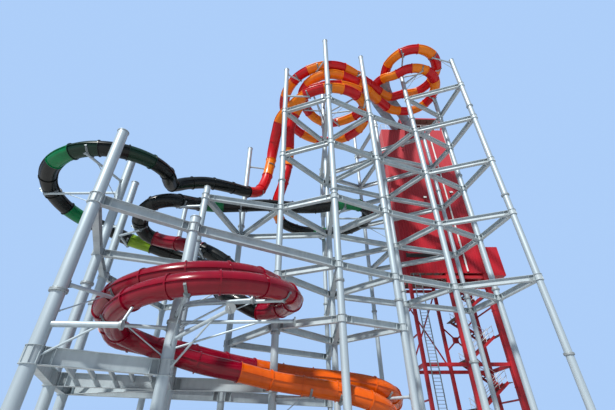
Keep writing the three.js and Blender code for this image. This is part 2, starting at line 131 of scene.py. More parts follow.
A_HOOK = [(-10.6, -4.2, 16.85), (-11.3, -5.3, 16.3), (-11.9, -6.1, 15.8), (-12.7, -6.3, 15.4),
          (-13.5, -5.7, 15.05), (-14.05, -4.6, 14.7), (-13.8, -3.6, 14.4), (-12.8, -3.3, 14.1),
          (-11.1, -3.7, 13.6), (-9.4, -3.9, 13.05), (-7.9, -3.9, 12.2), (-6.7, -3.7, 11.15),
          (-5.8, -3.85, 10.25)]
A_RUBY = turn(-8.35, -7.3, 4.3, 40, -180, 9.55, 6.85, 8)
A_END = [(-12.6, -6.3, 6.45), (-11.6, -5.9, 6.25), (-10.4, -6.15, 6.0), (-9.3, -6.3, 5.85),
         (-7.6, -5.3, 5.6), (-6.0, -4.1, 5.45), (-4.3, -3.15, 5.3), (-2.3, -2.9, 5.05),
         (-0.3, -2.9, 4.85), (1.8, -2.85, 4.55), (2.75, -2.5, 4.3), (3.5, -1.4, 4.05), (3.85, 0.1, 3.85)]
A_POINTS = A_TOP + A_RING + A_CROSS + A_LOOP + A_CHUTE + A_DARK + A_BACK + A_HOOK + A_RUBY + A_END

# Slide B
B_TOP = [(12.4, 6.46, 37.0), (10.7, 4.2, 37.05), (8.9, 2.1, 37.15), (7.7, 0.1, 37.15)]
B_RING = turn(10.05, -2.17, 2.87, 165, 455, 37.08, 36.66, 8)
B_CROSS = [(8.3, 0.65, 36.05), (7.1, -0.08, 35.6), (5.9, -1.2, 35.25)]
B_LOOP = [(4.8, -2.1, 35.0)] + turn(0.15, 0, 4.55, -45, -505, 34.75, 30.05, 16)
B_CHUTE = [(-4.6, -1.55, 29.6), (-5.05, -0.4, 28.6), (-5.4, 0.65, 27.2), (-5.65, 1.0, 25.2),
           (-6.0, 0.9, 23.0), (-6.5, 0.4, 21.5), (-7.3, -0.7, 20.6)]
B_DARK = [(-8.65, -2.15, 20.0), (-10.25, -3.45, 19.45), (-11.5, -4.2, 18.8)]
B_BIG = turn(-15.85, -6.35, 3.75, 20, -250, 17.95, 15.25, 10)
B_PASS = [(-16.0, -1.9, 14.95), (-14.0, -1.3, 14.5), (-12.4, -0.85, 14.0), (-10.5, -0.9, 13.4),
          (-9.1, -1.55, 12.65), (-8.3, -2.65, 11.55), (-7.95, -3.9, 10.25), (-7.15, -4.8, 9.35),
          (-6.15, -5.15, 8.8)]
B_RUBY = turn(-7.15, -8.7, 4.2, 60, -180, 8.32, 6.15, 8)
B_END = [(-10.9, -7.75, 6.0), (-9.5, -7.4, 5.55), (-7.7, -7.0, 5.05), (-5.8, -6.2, 4.75),
         (-3.95, -5.2, 4.45), (-1.9, -4.85, 4.18), (-0.25, -4.85, 3.92), (1.4, -4.72, 3.5),
         (2.2, -4.2, 3.2), (2.6, -3.1, 2.95), (2.7, -1.7, 2.75)]
B_POINTS = B_TOP + B_RING + B_CROSS + B_LOOP + B_CHUTE + B_DARK + B_BIG + B_PASS + B_RUBY + B_END

# Stretches of each slide: node, steps of its path, record slot and the colour of each of its lengths, or
# one colour for all of them: p pale start, r red, o orange, k near-black, d near-black with a painted green
# sheen, g green, l lime painted bright for light shining through green, c crimson, a amber
STRETCHES_A = [
    ("slide_a_ring", 14, "flame", "ppppprorororor"),
    ("slide_a_loop_one", 13, "flame", "orooroorror"),
    ("slide_a_loop_two", 10, "flame", "orrorr"),
    ("slide_a_chute", 8, "flame", "orrorro"),
    ("slide_a_dark_loop", 9, "dark", "kkgkkkkgkk"),
    ("slide_a_dark_run", 7, "dark", "kkkgkk"),
    ("slide_a_dark_pass", 10, "dark", "kkcckkk"),
    ("slide_a_red_ring", 8, "ruby", "c"),
    ("slide_a_run_out", 13, "ruby", "cccccaaaaaa"),
]
STRETCHES_B = [
    ("slide_b_ring", 12, "flame", "ppppprorororo"),
    ("slide_b_loop_one", 10, "flame", "rorrororor"),
    ("slide_b_loop_two", 11, "flame", "ororororororo"),
    ("slide_b_chute", 7, "flame", "orrorr"),
    ("slide_b_dark_run", 5, "dark", "k"),
    ("slide_b_dark_loop", 9, "dark", "kdkdgkkkgk"),
    ("slide_b_dark_pass", 10, "dark", "klkkkkkkkk"),
    ("slide_b_red_ring", 8, "ruby", "c"),
    ("slide_b_red_run", 4, "ruby", "c"),
    ("slide_b_run_out", 7, "amber", "a"),
]

# Arms of each column, at points of the slides
ARMS = {
    "o": [A_LOOP[2], A_LOOP[5], A_LOOP[8], A_LOOP[11], A_LOOP[13], A_LOOP[17], A_DARK[4], A_DARK[6]],
    "c": [B_LOOP[4], B_LOOP[16], A_RUBY[0], A_END[6], B_END[5]],
    "d": [B_LOOP[3], B_LOOP[15], B_END[6]],
    "e": [B_LOOP[1], B_LOOP[13], B_END[9], A_END[10]],
    "f": [B_RING[2], B_RING[5], A_RING[2], A_RING[7]],
    "g": [B_RING[4]],
    "h": [A_RING[5]],
    "j": [A_DARK[3]],
    "n": [A_DARK[1]],
    "r": [B_CHUTE[3], B_CHUTE[5], A_BACK[1]],
    "b": [A_HOOK[1], A_HOOK[9], A_END[3]],
    "a": [A_RUBY[6]],
    "q": [B_RUBY[3], B_RUBY[5], B_RUBY[7], A_RUBY[3]],
    "a2": [B_BIG[4], B_BIG[7], A_HOOK[4]],
    "a3": [B_BIG[9], A_HOOK[5], B_PASS[0]],
}

# Stair tower
TOWER = {"x0": 8.4, "x1": 16.7, "y0": 6.4, "y1": 10.9, "bottom": 15.9, "floor": 36.5376}
SIDE_BOX = {"x1": 19.0, "y0": 7.0, "top": 19.2}
FRAME_INSET = 0.2


# Finishes
def preset(node, values):
    """Sets the named inputs of a shader node."""
    for label, value in values.items():
        node.inputs[label].default_value = value
    return node


def weathering():
    """The node group that gives stains, fine grain and gloss to every material."""
    group = bpy.data.node_groups.new("weathering", "ShaderNodeTree")
    for label in ("Patch size", "Streak size", "Grain size", "Streaks"):
        group.interface.new_socket(name=label, in_out="INPUT", socket_type="NodeSocketFloat")
    for label in ("Stain", "Grain", "Gloss"):
        group.interface.new_socket(name=label, in_out="OUTPUT", socket_type="NodeSocketFloat")
    nodes, links = group.nodes, group.links
    inputs = nodes.new("NodeGroupInput")
    outputs = nodes.new("NodeGroupOutput")
    place = nodes.new("ShaderNodeTexCoord")
    patches = preset(nodes.new("ShaderNodeTexNoise"), {"Detail": 4.0})
    links.new(place.outputs["Object"], patches.inputs["Vector"])
    links.new(inputs.outputs["Patch size"], patches.inputs["Scale"])
    flat = preset(nodes.new("ShaderNodeMapping"), {"Scale": (1.0, 1.0, 0.06)})
    links.new(place.outputs["Object"], flat.inputs["Vector"])
    streaks = preset(nodes.new("ShaderNodeTexNoise"), {"Detail": 3.0})
    links.new(flat.outputs["Vector"], streaks.inputs["Vector"])
    links.new(inputs.outputs["Streak size"], streaks.inputs["Scale"])
    grain = preset(nodes.new("ShaderNodeTexNoise"), {"Detail": 2.0})
    links.new(place.outputs["Object"], grain.inputs["Vector"])
    links.new(inputs.outputs["Grain size"], grain.inputs["Scale"])
    blend = nodes.new("ShaderNodeMix")
    links.new(inputs.outputs["Streaks"], blend.inputs["Factor"])
    links.new(patches.outputs["Fac"], blend.inputs["A"])
    links.new(streaks.outputs["Fac"], blend.inputs["B"])
    stain = preset(nodes.new("ShaderNodeMapRange"), {"From Min": 0.38, "From Max": 0.72})
    links.new(blend.outputs["Result"], stain.inputs["Value"])
    links.new(stain.outputs["Result"], outputs.inputs["Stain"])
    links.new(grain.outputs["Fac"], outputs.inputs["Grain"])
    gloss = preset(nodes.new("ShaderNodeMapRange"), {"From Min": 0.3, "From Max": 0.7})
    links.new(patches.outputs["Fac"], gloss.inputs["Value"])
    links.new(gloss.outputs["Result"], outputs.inputs["Gloss"])
    return group


WEATHERING = weathering()


def fade_and_painted_sky_reflection(nodes, links, tint, fade_and_sky_reflection_colour):
    """Mixes the paler colour in with the height, from the tower's lower end to its landing: a sun fade with a
    painted sky reflection, pinker high up.
    """
    place = nodes.new("ShaderNodeTexCoord")
    parts = nodes.new("ShaderNodeSeparateXYZ")
    links.new(place.outputs["Object"], parts.inputs["Vector"])
    height = preset(nodes.new("ShaderNodeMapRange"), {"From Min": TOWER["bottom"] + 1.5,
                                                      "From Max": TOWER["floor"]})
    links.new(parts.outputs["Z"], height.inputs["Value"])
    mixed = nodes.new("ShaderNodeMix")
    mixed.data_type = "RGBA"
    preset(mixed, {"B": (*fade_and_sky_reflection_colour, 1.0)})
    links.new(height.outputs["Result"], mixed.inputs["Factor"])
    links.new(tint.outputs["Result"], mixed.inputs["A"])
    return mixed


def finish_of(name, colour, worn, rough, metallic=0.0, coat=0.0, specular=0.5, patch=0.6, streak=3.0,
              grain=60.0, streaks=0.5, bump=0.1, fade_and_sky_reflection_colour=None):
    """A weathered finish: colour where clean, worn where stained, faded with a painted sky reflection high
    up, rough between two values.
    """
    material = bpy.data.materials.new(name)
    material.use_nodes = True
    nodes, links = material.node_tree.nodes, material.node_tree.links
    shader = preset(nodes["Principled BSDF"], {"Metallic": metallic, "Coat Weight": coat,
                                               "Coat Roughness": 0.06, "Specular IOR Level": specular})
    wear = nodes.new("ShaderNodeGroup")
    wear.node_tree = WEATHERING
    preset(wear, {"Patch size": patch, "Streak size": streak, "Grain size": grain, "Streaks": streaks})
    tint = nodes.new("ShaderNodeMix")
    tint.data_type = "RGBA"
    preset(tint, {"A": (*colour, 1.0), "B": (*worn, 1.0)})
    links.new(wear.outputs["Stain"], tint.inputs["Factor"])
    if fade_and_sky_reflection_colour:
        tint = fade_and_painted_sky_reflection(nodes, links, tint, fade_and_sky_reflection_colour)
    links.new(tint.outputs["Result"], shader.inputs["Base Color"])
    roughness = preset(nodes.new("ShaderNodeMapRange"), {"To Min": rough[0], "To Max": rough[1]})
    links.new(wear.outputs["Gloss"], roughness.inputs["Value"])
    links.new(roughness.outputs["Result"], shader.inputs["Roughness"])
    relief = preset(nodes.new("ShaderNodeBump"), {"Strength": bump, "Distance": 0.004})
    links.new(wear.outputs["Grain"], relief.inputs["Height"])
    links.new(relief.outputs["Normal"], shader.inputs["Normal"])
    return material


STEEL = finish_of("galvanised_steel", (0.50, 0.60, 0.66), (0.37, 0.46, 0.52), (0.36, 0.55), metallic=0.3,
                  streak=5.0, grain=90.0, streaks=0.6)
BEAM_STEEL = finish_of("rolled_steel", (0.50, 0.58, 0.62), (0.37, 0.44, 0.48), (0.4, 0.6), metallic=0.2,
                       patch=1.4, streak=6.0, grain=90.0, streaks=0.35)
# Flanges, caps and bracket plates are darker than the pipes: painted shade for the dark rims under them.
FLANGE_STEEL_PAINTED_SHADE = finish_of("flange_steel_painted_shade", (0.40, 0.46, 0.49), (0.28, 0.33, 0.36), (0.4, 0.6), metallic=0.3,
                         patch=3.0, grain=120.0)
FITTING = finish_of("zinc_fittings", (0.30, 0.35, 0.37), (0.20, 0.24, 0.26), (0.35, 0.55), metallic=0.4,
                    patch=3.0, grain=120.0)
GLASS_FIBRE = {"coat": 0.16, "specular": 0.3, "bump": 0.04}
DARK_FIBRE = {"coat": 0.12, "specular": 0.28, "bump": 0.04}
FLAME_RED = finish_of("flame_red", (0.62, 0.006, 0.010), (0.46, 0.005, 0.010), (0.24, 0.38), **GLASS_FIBRE)
FLAME_ORANGE = finish_of("flame_orange", (0.90, 0.235, 0.006), (0.76, 0.17, 0.006), (0.24, 0.38),
                         **GLASS_FIBRE)
PALE_START = finish_of("pale_start", (0.28, 0.36, 0.43), (0.20, 0.27, 0.33), (0.25, 0.4), **GLASS_FIBRE)
NEAR_BLACK = finish_of("near_black", (0.004, 0.006, 0.006), (0.012, 0.016, 0.016), (0.18, 0.32),
                       **DARK_FIBRE)
# Near-black tube with a painted dark green sheen on it.
BLACK_PAINTED_GREEN_SHEEN = finish_of("black_painted_green_sheen", (0.004, 0.030, 0.016), (0.008, 0.030, 0.020), (0.18, 0.32),
                       **DARK_FIBRE)
DEEP_GREEN = finish_of("deep_green", (0.001, 0.19, 0.062), (0.002, 0.12, 0.042), (0.18, 0.32), **DARK_FIBRE)
# Bright lime: green fibreglass painted bright for light shining through it from below.
LIME_PAINTED_LIGHT_THROUGH = finish_of("lime_painted_light_through", (0.22, 0.38, 0.010), (0.14, 0.27, 0.010), (0.2, 0.34), **GLASS_FIBRE)
CRIMSON = finish_of("crimson", (0.25, 0.001, 0.016), (0.18, 0.001, 0.013), (0.14, 0.28), coat=0.25,
                    specular=0.3, bump=0.03)
AMBER = finish_of("amber_orange", (0.72, 0.115, 0.002), (0.58, 0.08, 0.002), (0.16, 0.3), coat=0.2,
                  specular=0.3, bump=0.03)
# The pale seam colour is a painted highlight along the tubes' seams.
SEAM_PAINTED_HIGHLIGHT = finish_of("pale_seam_painted_highlight", (0.62, 0.56, 0.52), (0.42, 0.38, 0.36), (0.4, 0.6), patch=3.0)
# The cladding turns paler and pinker towards the landing: a sun fade with a painted sky reflection.
CLADDING = finish_of("red_cladding", (0.46, 0.014, 0.026), (0.36, 0.02, 0.034), (0.36, 0.5), specular=0.3,
                     patch=0.35, streak=1.6, streaks=0.65, fade_and_sky_reflection_colour=(0.50, 0.07, 0.085))
RED_FRAME = finish_of("red_frame_paint", (0.46, 0.012, 0.02), (0.28, 0.012, 0.02), (0.35, 0.55), patch=1.2)
WHITE_TRIM = finish_of("white_trim", (0.80, 0.82, 0.82), (0.6, 0.62, 0.62), (0.4, 0.55), patch=1.5)
DARK_METAL = finish_of("dark_louvre", (0.045, 0.04, 0.04), (0.09, 0.08, 0.075), (0.45, 0.65), patch=1.5)
# The dark brown of the roof lining and of the panel under the shaft is painted shade; the stair treads and
# landings use it too.
BROWN_AND_PAINTED_SHADE = finish_of("brown_and_painted_shade", (0.13, 0.075, 0.055), (0.085, 0.05, 0.04), (0.55, 0.75), patch=0.8)
LAMP_GLASS = finish_of("lamp_glass", (0.85, 0.86, 0.84), (0.75, 0.76, 0.74), (0.1, 0.2), coat=0.6)
COLOURS = {"p": PALE_START, "r": FLAME_RED, "o": FLAME_ORANGE, "k": NEAR_BLACK, "d": BLACK_PAINTED_GREEN_SHEEN,
           "g": DEEP_GREEN, "l": LIME_PAINTED_LIGHT_THROUGH, "c": CRIMSON, "a": AMBER}


# Selection, edit mode, primitives and copies
def deselect():
    bpy.ops.object.select_all(action="DESELECT")


def focus(piece):
    deselect()
    piece.select_set(True)
    bpy.context.view_layer.objects.active = piece


def primitive(operator, material, **how):
    """Adds one primitive, gives it a material and applies its turn and scale."""
    scale = how.pop("scale", None)
    deselect()
    operator(**how)
    piece = bpy.context.active_object
    if scale:
        piece.scale = scale
    bpy.ops.object.transform_apply(location=True, rotation=True, scale=True)
    piece.data.materials.clear()
    piece.data.materials.append(material)
    return piece


def block(material, low, high):
    """A box between two corners."""
    middle = [(a + b) / 2 for a, b in zip(low, high)]
    size = [b - a for a, b in zip(low, high)]
    return primitive(bpy.ops.mesh.primitive_cube_add, material, size=1, location=middle, scale=size)


def rod(material, radius, depth, sides=16, **how):
    return primitive(bpy.ops.mesh.primitive_cylinder_add, material, vertices=sides, radius=radius,
                     depth=depth, **how)


def pick(piece, kind, test):
    """Enters edit mode and selects the faces or edges that pass the test."""
    focus(piece)
    bpy.ops.object.mode_set(mode="EDIT")
    bpy.ops.mesh.select_mode(type=kind)
    bpy.ops.mesh.select_all(action="DESELECT")
    mesh = bmesh.from_edit_mesh(piece.data)
    for part in mesh.faces if kind == "FACE" else mesh.edges:
        part.select_set(test(part))
    mesh.select_flush_mode()
    bmesh.update_edit_mesh(piece.data)


def done():
    bpy.ops.object.mode_set(mode="OBJECT")


def swell(distance):
    """Extrudes the selected faces along their normals."""
    bpy.ops.mesh.extrude_region_shrink_fatten(TRANSFORM_OT_shrink_fatten={"value": distance})


def bevelled(piece, width, segments=2):
    focus(piece)
    edge = piece.modifiers.new("edge", "BEVEL")
    edge.width = width
    edge.segments = segments
    edge.limit_method = "ANGLE"
    bpy.ops.object.modifier_apply(modifier=edge.name)
    return piece


def smooth(piece, degrees=35):
    focus(piece)
    bpy.ops.object.shade_smooth_by_angle(angle=math.radians(degrees))
    return piece


def joined(parts):
    """Joins objects into the first one."""
    deselect()
    for part in parts:
        part.select_set(True)
    bpy.context.view_layer.objects.active = parts[0]
    if len(parts) > 1:
        bpy.ops.object.join()
    return parts[0]


def pattern(piece):
    """Keeps a modelled piece as a mesh to copy, and takes its object away."""
    mesh = piece.data
    mesh.use_fake_user = True
    bpy.data.objects.remove(piece)
    return mesh


def copied(mesh, matrix, longer=0.0):
    """A copy of a kept mesh in its place. Its half past x = 0.5 is moved on to make it longer."""
    own = mesh.copy()
    if longer:
        for vertex in own.vertices:
            if vertex.co.x > 0.5:
                vertex.co.x += longer
    own.transform(matrix)
    piece = bpy.data.objects.new(own.name, own)
    bpy.context.scene.collection.objects.link(piece)
    return piece


def piece_of(name, parts, slot, *nodes):
    """One finished piece that rides on the body and stands for the named nodes."""
    piece = joined(parts)
    piece.name = name
    piece.data.name = name
    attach(piece, "root")
    if nodes:
        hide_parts(*nodes)
    return piece


def along(start, end):
    """Matrix that lays the x axis from start towards end, with z as upright as it can be."""
    start, end = Vector(start), Vector(end)
    forward = (end - start).normalized()
    side = Vector((0, 0, 1)).cross(forward)
    if side.length < 1e-4:
        side = Vector((0, 1, 0))
    side.normalize()
    up = forward.cross(side)
    turned = Matrix((forward, side, up)).transposed().to_4x4()
    return Matrix.Translation(start) @ turned


def at(x, y, z):
    return Matrix.Translation((x, y, z))


def sized(x, y, z):
    return Matrix.Diagonal((x, y, z, 1.0))


# Turns that lay an upright rod along x or along y
ALONG_X = (0, math.pi / 2, 0)
ALONG_Y = (math.pi / 2, 0, 0)


# Straight members of one metre from x = 0, one across, laid between two points
def unit_member(material, round_sides=0):
    if round_sides:
        member = rod(material, 0.5, 1.0, sides=round_sides, location=(0.5, 0, 0), rotation=ALONG_X)
        return pattern(smooth(member))
    return pattern(block(material, (0, -0.5, -0.5), (1, 0.5, 0.5)))


SQUARE = {}
ROUND = {}


def bar(material, start, end, wide, deep):
    if material.name not in SQUARE:
        SQUARE[material.name] = unit_member(material)
    span = (Vector(end) - Vector(start)).length
    return copied(SQUARE[material.name], along(start, end) @ sized(span, wide, deep))


def tubing(material, start, end, radius):
    if material.name not in ROUND:
        ROUND[material.name] = unit_member(material, 12)
    span = (Vector(end) - Vector(start)).length
    return copied(ROUND[material.name], along(start, end) @ sized(span, 2 * radius, 2 * radius))


# Pipe columns. A reach is what a part stands out past the pipe
FLANGE_REACH = 0.075
FLANGE_THICKNESS = 0.055
FLANGE_BOLTS = 12
BASE_REACH = 0.18
BASE_THICKNESS = 0.04
GUSSETS = 8
CAP_REACH = 0.028
CAP_THICKNESS = 0.05
PIPE_SIDES = 32


def hex_bolt(length, x, y, z, radius=0.018):
    return rod(FITTING, radius, length, sides=6, location=(x, y, z))


def splice_mesh(radius):
    """Two bolted flanges on a pipe."""
    parts = []
    for side in (-1, 1):
        # The flange discs take the darker steel as painted shade at their rims.
        disc = rod(FLANGE_STEEL_PAINTED_SHADE, radius + FLANGE_REACH, FLANGE_THICKNESS, sides=PIPE_SIDES,
                   location=(0, 0, side * 0.032))
        parts.append(bevelled(disc, 0.008))
        weld = primitive(bpy.ops.mesh.primitive_cone_add, FLANGE_STEEL_PAINTED_SHADE, vertices=PIPE_SIDES,
                         radius1=radius + 0.03, radius2=radius, depth=0.035, location=(0, 0, side * 0.075),
                         rotation=(0 if side > 0 else math.pi, 0, 0))
        parts.append(weld)
    for step in range(FLANGE_BOLTS):
        angle = math.tau * (step + 0.5) / FLANGE_BOLTS
        reach = radius + 0.045
        parts.append(hex_bolt(0.17, reach * math.cos(angle), reach * math.sin(angle), 0))
    return pattern(smooth(joined(parts)))


def foot_mesh(radius):
    """Base plate with gussets and anchor bolts."""
    plate = rod(STEEL, radius + BASE_REACH, BASE_THICKNESS, sides=PIPE_SIDES,
                location=(0, 0, BASE_THICKNESS / 2))
    parts = [bevelled(plate, 0.006)]
    for step in range(GUSSETS):
        angle = math.tau * step / GUSSETS
        gusset = block(STEEL, (radius - 0.01, -0.008, 0.035), (radius + 0.15, 0.008, 0.3))
        pick(gusset, "EDGE", lambda e: all(v.co.x > radius + 0.1 and v.co.z > 0.2 for v in e.verts))
        bpy.ops.transform.translate(value=(0, 0, -0.22))
        done()
        gusset.data.transform(Matrix.Rotation(angle, 4, "Z"))
        parts.append(gusset)
        turned_by = angle + math.tau / (2 * GUSSETS)
        reach = radius + 0.125
        parts.append(hex_bolt(0.09, reach * math.cos(turned_by), reach * math.sin(turned_by), 0.06, 0.022))
    return pattern(smooth(joined(parts)))


def cap_mesh(radius):
    """Flat cap with a rolled rim, its top at z = 0."""
    # The cap takes the darker steel as painted shade at its rim.
    disc = rod(FLANGE_STEEL_PAINTED_SHADE, radius + CAP_REACH, CAP_THICKNESS, sides=PIPE_SIDES,
               location=(0, 0, -CAP_THICKNESS / 2))
    pick(disc, "FACE", lambda f: f.normal.z > 0.9)
    bpy.ops.mesh.inset(thickness=0.03)
    swell(-0.012)
    done()
    return pattern(smooth(bevelled(disc, 0.005)))


def pipe_mesh(radius):
    """One metre of pipe standing on z = 0."""
    pipe = rod(STEEL, radius, 1.0, sides=PIPE_SIDES, location=(0, 0, 0.5))
    return pattern(smooth(pipe))


RADII = sorted({column[3] for column in COLUMNS.values()})
PIPE = {radius: pipe_mesh(radius) for radius in RADII}
SPLICE = {radius: splice_mesh(radius) for radius in RADII}
FOOT = {radius: foot_mesh(radius) for radius in RADII}
CAP = {radius: cap_mesh(radius) for radius in RADII}


def column_piece(name):
    x, y, top, radius, splices = COLUMNS[name]
    parts = [copied(PIPE[radius], at(x, y, 0.02) @ sized(1, 1, top - 0.045)),
             copied(FOOT[radius], at(x, y, 0)), copied(CAP[radius], at(x, y, top))]
    for height in splices:
        parts.append(copied(SPLICE[radius], at(x, y, height)))
    piece_of(f"pipe_column_{name}", parts, "steel", f"column_{name}")


for column in COLUMNS:
    column_piece(column)


# Rolled beams and their collars
ROLLED_FLANGE = 0.022
ROLLED_WEB = 0.016
STIFFENERS = (0.34, 0.66)
BEAM_SPLICES = (0.16, 0.84)
BEAM_START = 0.04
LUGS = 8


def beam_mesh(width, depth):
    """One metre of rolled beam from x = 0, with end plates, stiffeners and bolts."""
    body = block(BEAM_STEEL, (0, -width / 2, -depth / 2), (1, width / 2, depth / 2))
    pick(body, "FACE", lambda f: abs(f.normal.y) > 0.9)
    bpy.ops.mesh.inset(thickness=ROLLED_FLANGE)
    swell(-(width / 2 - ROLLED_WEB / 2))
    done()
    parts = [bevelled(body, 0.003, 1)]
    for place in STIFFENERS:
        parts.append(block(BEAM_STEEL, (place - 0.006, -width / 2 + 0.004, -depth / 2 + 0.015),
                           (place + 0.006, width / 2 - 0.004, depth / 2 - 0.015)))
    for end in BEAM_SPLICES:
        plate = depth / 2 - 0.05
        parts.append(block(FITTING, (end - 0.11, -0.022, -plate), (end + 0.11, 0.022, plate)))
        for x in (end - 0.06, end + 0.06):
            for z in (-depth / 4, depth / 4):
                parts.append(rod(FITTING, 0.016, 0.09, sides=6, location=(x, 0, z), rotation=ALONG_Y))
    return pattern(smooth(joined(parts)))


def collar_mesh(radius, depth):
    """Sleeve with a thin ring plate at each end and welded lugs."""
    outer = radius + COLLAR_WALL
    parts = [rod(BEAM_STEEL, radius + 0.02, depth, sides=PIPE_SIDES)]
    for side in (-1, 1):
        ring = rod(BEAM_STEEL, outer, ROLLED_FLANGE, sides=PIPE_SIDES, location=(0, 0, side * (depth / 2)))
        parts.append(bevelled(ring, 0.005, 1))
    for step in range(LUGS):
        angle = math.tau * (step + 0.5) / LUGS
        lug = block(BEAM_STEEL, (radius, -0.008, -depth / 2 + 0.01), (outer - 0.008, 0.008, depth / 2 - 0.01))
        lug.data.transform(Matrix.Rotation(angle, 4, "Z"))
        parts.append(lug)
    return pattern(smooth(joined(parts)))


SIZE_OF = {"long_beam_t4": (LONG_BEAM_WIDTH, DEEP_BEAM_DEPTH),
           "deck_beams_t6": (LONG_BEAM_WIDTH, DECK_BEAM_DEPTH)}
BEAM = {size: beam_mesh(*size) for size in {(BEAM_WIDTH, BEAM_DEPTH), *SIZE_OF.values()}}
COLLAR = {}


def framing_piece(node):
    tier, collars, spans = FRAMING[node]
    z = LEVEL[tier]
    size = SIZE_OF.get(node, (BEAM_WIDTH, BEAM_DEPTH))
    parts = []
    for name in collars:
        x, y, _, radius, _ = COLUMNS[name]
        if (radius, size[1]) not in COLLAR:
            COLLAR[radius, size[1]] = collar_mesh(radius, size[1])
        parts.append(copied(COLLAR[radius, size[1]], at(x, y, z)))
    for first, last in spans:
        start, end = COLUMNS[first], COLUMNS[last]
        a, b = Vector((start[0], start[1], z)), Vector((end[0], end[1], z))
        way = (b - a).normalized()
        a += way * (start[3] + BEAM_START)
        b -= way * (end[3] + BEAM_START)
        parts.append(copied(BEAM[size], along(a, b), longer=(b - a).length - 1))
    piece_of(f"framing_{node}", parts, "steel", node)


for node in FRAMING:
    framing_piece(node)


# Tube slides
def bezier_handles(points):
    """Handles that give a centripetal curve through the points."""
    points = [Vector(p) for p in points]
    padded = [2 * points[0] - points[1]] + points + [2 * points[-1] - points[-2]]
    tangents = []
    for before, here, after in zip(padded, padded[1:], padded[2:]):
        first = math.sqrt((here - before).length)
        second = math.sqrt((after - here).length)
        across = (after - before) / (first + second)
        tangents.append((here - before) / first - across + (after - here) / second)
    pairs = []
    for index, (point, tangent) in enumerate(zip(points, tangents)):
        back = math.sqrt((point - points[index - 1]).length) if index else 0
        ahead = math.sqrt((points[index + 1] - point).length) if index + 1 < len(points) else 0
        pairs.append((point - tangent * back / 3, point, point + tangent * ahead / 3))
    return pairs


def path_of(handles, name):
    """A guide curve from a run of handles. It stays upright."""
    deselect()
    bpy.ops.curve.primitive_bezier_curve_add(location=(0, 0, 0))
    guide = bpy.context.active_object
    guide.name = name
    guide.data.twist_mode = "Z_UP"
    guide.data.resolution_u = 24
    spline = guide.data.splines[0]
    spline.bezier_points.add(len(handles) - len(spline.bezier_points))
    for knot, (left, point, right) in zip(spline.bezier_points, handles):
        knot.handle_left_type = knot.handle_right_type = "FREE"
        knot.co = point
        knot.handle_left = left
        knot.handle_right = right
    return guide


TUBE_SIDES = 32
RIM_AT = 0.018
BENDS_AT = (RIM_AT, 0.14, 0.28, 0.42, 0.56, 0.7, 0.85, 1 - RIM_AT)


def tube_mesh():
    """One length of slide from x = 0 to 1: a wall, a rim at each end and a seam along both sides."""
    shell = rod(FLAME_RED, TUBE_RADIUS, 1.0, sides=TUBE_SIDES, location=(0.5, 0, 0), rotation=ALONG_X,
                end_fill_type="NOTHING")
    focus(shell)
    bpy.ops.object.mode_set(mode="EDIT")
    for x in BENDS_AT:
        bpy.ops.mesh.select_all(action="SELECT")
        bpy.ops.mesh.bisect(plane_co=(x, 0, 0), plane_no=(1, 0, 0))
    done()
    wall = shell.modifiers.new("wall", "SOLIDIFY")
    wall.thickness = TUBE_WALL
    wall.offset = -1
    bpy.ops.object.modifier_apply(modifier=wall.name)

    def outer(face):
        middle = face.calc_center_median()
        return Vector((0, middle.y, middle.z)).dot(face.normal) > TUBE_RADIUS * 0.9

    pick(shell, "FACE", lambda f: outer(f) and not RIM_AT < f.calc_center_median().x < 1 - RIM_AT)
    swell(RIM_REACH)
    done()

    def side_line(edge):
        a, b = (vertex.co for vertex in edge.verts)
        return (all(abs(point.z) < 0.002 and abs(abs(point.y) - TUBE_RADIUS) < 0.01 for point in (a, b))
                and abs(a.x - b.x) > 0.001)

    pick(shell, "EDGE", side_line)
    bpy.ops.mesh.bevel(offset=0.02, segments=1, affect="EDGES")
    done()
    pick(shell, "FACE", lambda f: abs(f.calc_center_median().z) < 0.004 and outer(f))
    swell(SEAM_REACH)
    done()
    # The seam strips take the pale colour as a painted highlight.
    shell.data.materials.append(SEAM_PAINTED_HIGHLIGHT)
    for face in shell.data.polygons:
        middle = face.center
        if abs(middle.z) < 0.03 and abs(middle.y) > TUBE_RADIUS + 0.012 and RIM_AT < middle.x < 1 - RIM_AT:
            face.material_index = 1
    return pattern(smooth(shell, 40))


TUBE = tube_mesh()


def slide_piece(node, handles, slot, colours):
    """Arrays the length of tube, bends it along its guide and colours each length in turn."""
    guide = path_of(handles, f"{node}_guide")
    total = guide.data.splines[0].calc_length()
    count = len(colours) if len(colours) > 1 else round(total / LENGTH_OF_TUBE)
    piece = copied(TUBE, sized(total / count, 1, 1))
    focus(piece)
    row = piece.modifiers.new("row", "ARRAY")
    row.count = count
    row.use_relative_offset = False
    row.use_constant_offset = True
    row.constant_offset_displace = (total / count, 0, 0)
    bend = piece.modifiers.new("bend", "CURVE")
    bend.object = guide
    bend.deform_axis = "POS_X"
    bpy.ops.object.modifier_apply(modifier=row.name)
    bpy.ops.object.modifier_apply(modifier=bend.name)
    bpy.data.objects.remove(guide)
    used = sorted(set(colours))
    piece.data.materials.clear()
    piece.data.materials.append(SEAM_PAINTED_HIGHLIGHT)
    for letter in used:
        piece.data.materials.append(COLOURS[letter])
    each = len(piece.data.polygons) // count
    for face in piece.data.polygons:
        letter = colours[(face.index // each) % len(colours)]
        face.material_index = 0 if face.material_index == 1 else 1 + used.index(letter)
    piece_of(f"tube_{node}", [piece], slot, node)


for points, stretches in ((A_POINTS, STRETCHES_A), (B_POINTS, STRETCHES_B)):
    handles = bezier_handles(points)
    first = 0
    for node, steps, slot, colours in stretches:
        slide_piece(node, handles[first:first + steps + 1], slot, colours)
        first += steps


